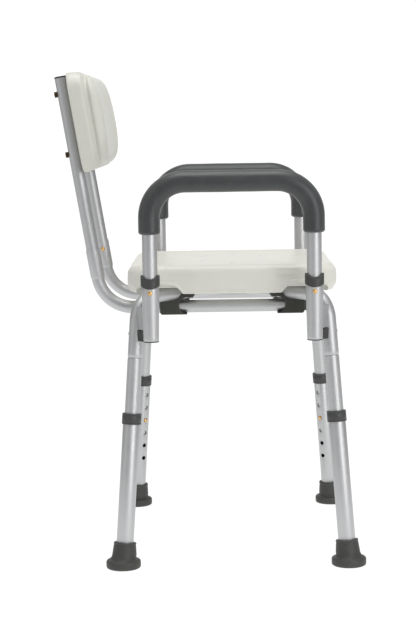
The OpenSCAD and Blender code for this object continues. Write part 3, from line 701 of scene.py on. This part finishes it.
def arch(x, y, half_x, foot):
    """Height of the skirt's lower edge, raised where a frame tube comes out."""
    if abs(x) < half_x - 22:
        return foot
    beyond = max(ARCH_FROM - abs(y), abs(y) - ARCH_TO, 0.0)
    if beyond >= ARCH_R:
        return foot
    rise = ARCH_Z + math.sqrt(ARCH_R ** 2 - beyond ** 2)
    blend = 1.2
    return max(foot, rise) + blend * max(0.0, 1 - abs(rise - foot) / 4) ** 2


DIMPLE_FRONT = 6.0
DIMPLE_REAR = 2.2
DIMPLE_Y = 94
DIMPLE_Z = 487
DIMPLE_HALF_LENGTH = 24
DIMPLE_HALF_HEIGHT = 9


def dimple(y, z):
    """Hollow in the side wall above each arch, deep at the front and slight at the rear."""
    depth = DIMPLE_FRONT if y < 0 else DIMPLE_REAR
    along = (abs(y) - DIMPLE_Y) / DIMPLE_HALF_LENGTH
    up = (z - DIMPLE_Z) / DIMPLE_HALF_HEIGHT
    return depth * math.exp(-(along ** 4) - up ** 2)


TUCK_IN = 15.0
TUCK_UP = 18.0
TUCK_FROM = 126
TUCK_TO = 160
SEAT_FOOT = 457.7
SEAT_CORNER = 45.0
SEAT_EDGE = 16.0
SLAB_Z = 468.0


def tuck(y, z):
    """Share by which the foot of the front and rear walls rolls inward."""
    fall = min(1.0, max(0.0, (SEAT_FOOT + TUCK_UP - z) / TUCK_UP))
    return (1 - math.sqrt(1 - fall * fall)) * smoothstep(TUCK_FROM, TUCK_TO, abs(y))


def seat_shell():
    low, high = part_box("seat")
    half_x = (high.x - low.x) / 2 / MM
    half_y = (high.y - low.y) / 2 / MM
    top = high.z / MM
    rings = []

    def ring(inset, height_of, push=None):
        plain = outline(half_x - inset, half_y - inset, SEAT_CORNER - inset)
        deep = inset + TUCK_IN
        tucked = outline(half_x - deep, half_y - deep, SEAT_CORNER - deep)
        made = []
        for p, q in zip(plain, tucked):
            z = height_of(p)
            p = p.lerp(q, tuck(p.y, z))
            x, y = p.x, p.y
            if push and abs(x) > half_x - inset - 1:
                x -= math.copysign(push(y, z), x)
            made.append(Vector((SEAT_CENTRE.x + x * MM, SEAT_CENTRE.y + y * MM, z * MM)))
        rings.append(made)

    def lower(extra):
        return lambda p: arch(p.x, p.y, half_x, SEAT_FOOT) + extra

    def between(extra, share, ceiling):
        return lambda p: lerp(arch(p.x, p.y, half_x, SEAT_FOOT) + extra, ceiling, share)

    for inset in (150, 130, 90, 50, 26, 13.5):
        ring(inset, lambda p: SLAB_Z)
    ring(10.8, lambda p: SLAB_Z - 0.5)
    ring(10.1, lambda p: max(SLAB_Z - 2.0, arch(p.x, p.y, half_x, SEAT_FOOT)))
    for inset, extra in ((10.0, 1.2), (9.6, 0.4), (8.8, 0.0), (2.0, 0.0), (0.7, 0.3), (0.1, 1.1)):
        ring(inset, lower(extra))
    for inset, extra in ((0.0, 2.2), (0.15, 3.4), (0.7, 4.4), (1.2, 5.6)):
        ring(inset, lower(extra))
    wall_top = top - SEAT_EDGE
    ring(1.3, lower(7.2), dimple)
    for i in range(1, 13):
        ring(1.3 - 0.5 * math.sin(math.pi * i / 12), between(7.2, i / 12, wall_top), dimple)
    steps = 12
    for i in range(1, steps + 1):
        angle = math.pi / 2 * i / steps
        z = wall_top + SEAT_EDGE * math.sin(angle) - 0.4
        inset = 1.3 + SEAT_EDGE * (1 - math.cos(angle))
        ring(inset, lambda p, z=z: z, dimple if i < 5 else None)
    for inset, sink in ((20, 0.2), (23, 0.4), (26, 1.0), (30, 1.7), (36, 2.2)):
        ring(inset, lambda p, sink=sink: top - sink)
    for inset in (60, 90, 130, 150):
        ring(inset, lambda p, sink=2.2 + 0.8 * inset / 150: top - sink)
    return loft(rings)


def cut_or_join(piece, tool_data, operation):
    mesh = bpy.data.meshes.new("tool")
    mesh.from_pydata([tuple(p) for p in tool_data[0]], [], tool_data[1])
    face_outward(mesh)
    tool = bpy.data.objects.new("tool", mesh)
    bpy.context.scene.collection.objects.link(tool)
    boolean = piece.modifiers.new("boolean", "BOOLEAN")
    boolean.operation = operation
    boolean.solver = "EXACT"
    boolean.object = tool
    baked(piece)
    bpy.data.objects.remove(tool)


DRAIN_PITCH = 52.0
SCREW_SIDE = 125.0
SCREW_Y = 72.0
DRAIN_PROFILE = [
    (6.2, 460), (6.2, 467.4), (5.2, 468.4), (4.2, 469.8), (4.0, 471.5), (4.0, 500.2),
    (4.2, 501.6), (4.9, 502.8), (6.2, 503.6), (6.9, 504.4), (6.9, 512),
]
BOSS_PROFILE = [
    (3.0, 466), (2.4, 462), (2.4, 452.4), (2.8, 451.8), (5.4, 451.8), (5.9, 452.3), (6.1, 460),
    (6.6, 465.0), (8.0, 467.3), (9.0, 468.5), (9.0, 470), (3.0, 470),
]


def make_seat():
    piece = bpy.data.objects.new("seat_shell", bpy.data.meshes.new("seat_shell"))
    points, faces = seat_shell()
    piece.data.from_pydata([tuple(p) for p in points], [], faces)
    face_outward(piece.data)
    bpy.context.scene.collection.objects.link(piece)
    drains = []
    for i in range(-2, 3):
        for j in range(-2, 3):
            if (i + j) % 2 == 0 and (i or j):
                spot = SEAT_CENTRE + Vector((i, j, 0)) * DRAIN_PITCH * MM
                drains.append(lathe(DRAIN_PROFILE, Matrix.Translation(spot), 32, False))
    cut_or_join(piece, merged(drains), "DIFFERENCE")
    bosses = []
    for end_sign in ENDS.values():
        for side_sign in SIDES.values():
            spot = SEAT_CENTRE + Vector((side_sign * SCREW_SIDE, end_sign * SCREW_Y, 0)) * MM
            bosses.append(lathe(BOSS_PROFILE, Matrix.Translation(spot), 40, True))
    cut_or_join(piece, merged(bosses), "UNION")
    finish_piece(piece, seat_skin, body_of("seat"), ["seat"], 40)


make_seat()


# ---------------------------------------------------------------- backrest

BACK_FACE = 13.0
BACK_FOOT = 135.0


BACK_HOLLOW = 9.0
BACK_DEPTH = 52.0
CREASE = 30.0
BACK_MIDDLE = 72.0
PILLOW_GROOVE = 3.6
PILLOW_NECK = 3.4
PILLOW_FACE_HALF = 151.5
PILLOW_SIDE_ROLL = 18
PILLOW_FACE_FOOT = 63
PILLOW_FOOT_ROLL = 61
PILLOW_FACE_TOP = 95
PILLOW_TOP_ROLL = 71


def back_front(x):
    """Depth of the front face, which is hollowed from side to side."""
    return BACK_DEPTH - BACK_HOLLOW + BACK_HOLLOW * (x / 160) ** 2


def soft_min(a, b, k):
    h = max(k - abs(a - b), 0.0) / k
    return min(a, b) - h * h * k / 4


def rolled(depth, start, power):
    """How much of a rolled edge's reach is left at that depth: 1 at its start, 0 at the front."""
    t = min(1.0, max(0.0, (depth - start) / (BACK_DEPTH + 0.2 - start)))
    return (1 - t ** power) ** (1 / power)


def pillow(depth):
    """Side, bottom and top of the cushion-like front at that depth."""
    groove = PILLOW_GROOVE * (1 - smoothstep(CREASE - 1, CREASE + 6, depth))
    neck = PILLOW_NECK * (1 - smoothstep(CREASE, CREASE + 8, depth))
    side = PILLOW_FACE_HALF + PILLOW_SIDE_ROLL * rolled(depth, 34, 2.0) - groove
    bottom = PILLOW_FACE_FOOT - PILLOW_FOOT_ROLL * rolled(depth, 16, 2.2)
    top = PILLOW_FACE_TOP + PILLOW_TOP_ROLL * rolled(depth, 20, 2.4) - neck
    return side, bottom, top


def make_backrest():
    place = back_basis()

    def ring(depth, side, bottom, top, corner, face=False):
        middle = (bottom + top) / 2
        made = []
        for p in outline(side, (top - bottom) / 2, corner, 36, 84, 16):
            d = back_front(p.x) if face else depth
            if depth > 30 and not face:
                d = soft_min(depth, back_front(p.x), 6)
            made.append(place @ (Vector((p.x, -BACK_FACE - d, BACK_FOOT + middle + p.y)) * MM))
        return made

    rings = [
        ring(0.0, 20, 72, 98, 8), ring(0.0, 90, 40, 130, 20), ring(0.0, 160, 18.5, 151.5, 22),
        ring(0.0, 162.0, 17, 153, 23), ring(0.7, 163.0, 16, 154, 24), ring(1.0, 164.2, 15, 155, 24),
        ring(0.7, 165.4, 14, 156, 25), ring(0.0, 166.4, 13, 157, 26), ring(-0.6, 170, 6.5, 163, 27),
        ring(-0.9, 174.2, 1.9, 167.2, 29), ring(-0.7, 175.8, 0.2, 169.0, 29.5),
        ring(0.1, 176.8, -1.2, 170.0, 30), ring(1.2, 177.0, -1.8, 170.3, 30), ring(5, 177, -1.7, 170, 30),
        ring(10, 177, -0.8, 169.5, 30), ring(16, 177, 0.6, 168.6, 30), ring(21.5, 176.9, 1.7, 167.8, 30),
    ]
    steps = 12
    for step in range(1, steps + 1):
        share = step / steps
        depth = lerp(22.0, CREASE, share)
        side, bottom, top = pillow(CREASE)
        drop = 1 - math.cos(math.pi * share)
        side = lerp(176.8, side, drop / 2)
        bottom = lerp(1.8, bottom + 1.0, drop / 2)
        top = lerp(167.6, top, (drop / 2) ** 1.2)
        rings.append(ring(depth, side, bottom, top, lerp(30, 34, share)))
    for step in range(1, 25):
        depth = lerp(CREASE, BACK_DEPTH, math.sin(math.pi / 2 * step / 24))
        side, bottom, top = pillow(depth)
        rings.append(ring(depth, side, bottom, top, lerp(34, 30, (depth - CREASE) / 24)))
    for share in (0.93, 0.84, 0.72, 0.58, 0.44, 0.3, 0.17, 0.06):
        side, bottom, top = pillow(BACK_DEPTH)
        low = lerp(BACK_MIDDLE, bottom, share)
        high = lerp(BACK_MIDDLE, top, share)
        rings.append(ring(BACK_DEPTH, side * share, low, high, 26 * share, True))
    data = loft(rings)
    new_piece("backrest_shell", data, back_painted_shade_skin, body_of("backrest"), ["backrest"], 50)


make_backrest()


# ---------------------------------------------------------------- tube caps

CAP_SEAT = 299.5
CAP_PROFILE = [
    (9.7, -11.5), (9.7, -0.4), (10.2, 0.08), (10.9, 0.08), (11.25, 0.3), (11.35, 0.9), (11.3, 1.7),
    (11.0, 2.3), (10.3, 2.65), (7.5, 2.8), (3.0, 2.85), (0.6, 2.85),
]


def make_caps():
    place = back_basis()
    side_reach = abs(centre("right_upper_back_tube").x)
    profile = [(radius, CAP_SEAT + height) for radius, height in CAP_PROFILE]
    caps = []
    for sign in SIDES.values():
        matrix = place @ Matrix.Translation((sign * side_reach, 0, 0))
        caps.append(lathe(profile, matrix, 64, False))
    node = "back_tube_caps"
    new_piece("tube_end_caps", merged(caps), cap_skin, body_of(node), [node], 45)


make_caps()


# ---------------------------------------------------------------- brackets, plugs and gussets

moulded("rear_brackets", bracket_skin, 0.7, 4)
moulded("front_brackets", bracket_skin, 0.7, 4)
moulded("socket_plugs", collar_skin, 0.5, 3)
moulded("socket_gussets", weld_metal, 0.5, 6)


# ---------------------------------------------------------------- CAD nodes that stay

for end, side in PLACES:
    dress(f"{end}_{side}_inner_leg", upright_metal)
    dress(f"{end}_{side}_outer_leg", upright_metal, 0.25)
    dress(f"{end}_{side}_arm_socket", upright_metal, 0.2)
    dress(f"{end}_{side}_leg_button", brass)
    dress(f"{end}_{side}_arm_button", brass)
for side in SIDES:
    dress(f"{side}_arm_tube", bow_metal)
    dress(f"{side}_arm_springs", spring)
    dress(f"{side}_lower_back_tube", rail_metal)
    dress(f"{side}_upper_back_tube", upright_metal)
    dress(f"{side}_rail_button", brass)
    dress(f"{side}_back_button", brass)
for node in ("leg_springs", "rail_springs", "back_springs"):
    dress(node, spring)
for node in ("centre_bolt", "socket_bolts", "bracket_screws"):
    dress(node, steel, 0.3)
dress("backrest_bolts", dark_brass, 0.4)
dress("backrest_washers", washer_skin, 0.3)


# ---------------------------------------------------------------- studio

FLOOR_HALF = 40.0
FLOOR_Z = -0.2 * MM
PAPER_HALF = 1.5
PAPER_FADE_END = 3.6
PAPER_SPREAD = 0.2
CAMERA_PLACE = (-3.100, -0.0216, 0.7444)
CAMERA_DOWN = math.radians(6.24)
CAMERA_YAW = math.radians(0.457)
CAMERA_ROLL = math.radians(0.89)
CAMERA_LENS = 99.4


def maths(tree, operation, first, second):
    """A maths node whose inputs are sockets or numbers."""
    node = tree.nodes.new("ShaderNodeMath")
    node.operation = operation
    for socket, value in zip(node.inputs, (first, second)):
        if isinstance(value, (int, float)):
            socket.default_value = value
        else:
            tree.links.new(value, socket)
    return node.outputs["Value"]


def make_floor():
    """White paper that widens away behind the object, on a duller studio floor."""
    mesh = bpy.data.meshes.new("floor")
    size = FLOOR_HALF
    corners = [(-size, -size), (size, -size), (size, size), (-size, size)]
    mesh.from_pydata([(x, y, FLOOR_Z) for x, y in corners], [], [(0, 1, 2, 3)])
    floor = bpy.data.objects.new("floor", mesh)
    bpy.context.scene.collection.objects.link(floor)
    material, tree, shader = node_tools("floor_paper")
    vector = object_vector(tree)
    parts = tree.nodes.new("ShaderNodeSeparateXYZ")
    tree.links.new(vector, parts.inputs["Vector"])
    aside = maths(tree, "ABSOLUTE", parts.outputs["Y"], 0.0)
    ahead = maths(tree, "MAXIMUM", parts.outputs["X"], 0.0)
    spread = maths(tree, "MULTIPLY", ahead, PAPER_SPREAD)
    beyond = maths(tree, "SUBTRACT", aside, spread)
    across = remap(tree, beyond, 1, 0, PAPER_HALF, PAPER_FADE_END)
    behind = remap(tree, parts.outputs["X"], 0, 1, -1.8, -0.8)
    paper = maths(tree, "MULTIPLY", across, behind)
    tone = mixed_colour(tree, noise(tree, vector, 3, 3), (0.16, 0.16, 0.16), (0.18, 0.18, 0.18))
    tree.links.new(tone, shader.inputs["Base Color"])
    shader.inputs["Roughness"].default_value = 0.9
    shader.inputs["Specular IOR Level"].default_value = 0.1
    glow = mixed_colour(tree, paper, (0.42, 0.42, 0.425), (0.93, 0.93, 0.93))
    tree.links.new(glow, shader.inputs["Emission Color"])
    shader.inputs["Emission Strength"].default_value = 1.0
    mesh.materials.append(material)


def make_world():
    """White behind the object, grey all round and paler overhead."""
    world = bpy.data.worlds.new("studio")
    world.use_nodes = True
    bpy.context.scene.world = world
    tree = world.node_tree
    background = tree.nodes["Background"]
    place = tree.nodes.new("ShaderNodeTexCoord")
    parts = tree.nodes.new("ShaderNodeSeparateXYZ")
    tree.links.new(place.outputs["Generated"], parts.inputs["Vector"])
    high = remap(tree, parts.outputs["Z"], 0, 1, 0.0, 0.9)
    around = mixed_colour(tree, high, (0.32, 0.32, 0.325), (0.62, 0.62, 0.62))
    behind = remap(tree, parts.outputs["X"], 0, 1, 0.86, 0.95)
    blend = tree.nodes.new("ShaderNodeMix")
    blend.data_type = "RGBA"
    tree.links.new(behind, blend.inputs["Factor"])
    tree.links.new(around, blend.inputs["A"])
    blend.inputs["B"].default_value = (1.1, 1.1, 1.1, 1)
    tree.links.new(blend.outputs["Result"], background.inputs["Color"])
    background.inputs["Strength"].default_value = 1.0


def area_light(name, place, target, size, power):
    light = bpy.data.lights.new(name, "AREA")
    light.shape = "RECTANGLE"
    light.size, light.size_y = size
    light.energy = power
    lamp = bpy.data.objects.new(name, light)
    lamp.location = place
    aim = Vector(target) - Vector(place)
    lamp.rotation_euler = aim.to_track_quat("-Z", "Y").to_euler()
    bpy.context.scene.collection.objects.link(lamp)


def make_lights():
    middle = (0, 0, 0.45)
    area_light("key_softbox", (-2.7, -1.9, 1.0), middle, (1.8, 2.6), 40)
    area_light("fill_softbox", (-1.4, 2.4, 1.3), middle, (1.2, 2.2), 4)
    area_light("top_softbox", (-0.3, 0.0, 2.6), middle, (1.5, 1.5), 25)
    area_light("back_softbox", (2.6, 1.2, 1.8), middle, (1.4, 1.4), 5)


def make_camera():
    place = Vector(CAMERA_PLACE)
    down = CAMERA_DOWN
    yaw = CAMERA_YAW
    roll = CAMERA_ROLL
    data = bpy.data.cameras.new("camera")
    data.lens = CAMERA_LENS
    data.sensor_width = 36
    data.dof.use_dof = False
    data.clip_start = 0.05
    data.clip_end = 100
    camera = bpy.data.objects.new("camera", data)
    ahead = Vector((math.cos(down) * math.cos(yaw), math.cos(down) * math.sin(yaw), -math.sin(down)))
    right = ahead.cross(Vector((0, 0, 1))).normalized()
    up = right.cross(ahead)
    turned_right = right * math.cos(roll) - up * math.sin(roll)
    turned_up = up * math.cos(roll) + right * math.sin(roll)
    camera.matrix_world = basis(place, turned_right, turned_up, -ahead)
    bpy.context.scene.collection.objects.link(camera)
    bpy.context.scene.camera = camera


make_floor()
make_world()
make_lights()
make_camera()
bpy.context.scene.view_settings.view_transform = "Standard"
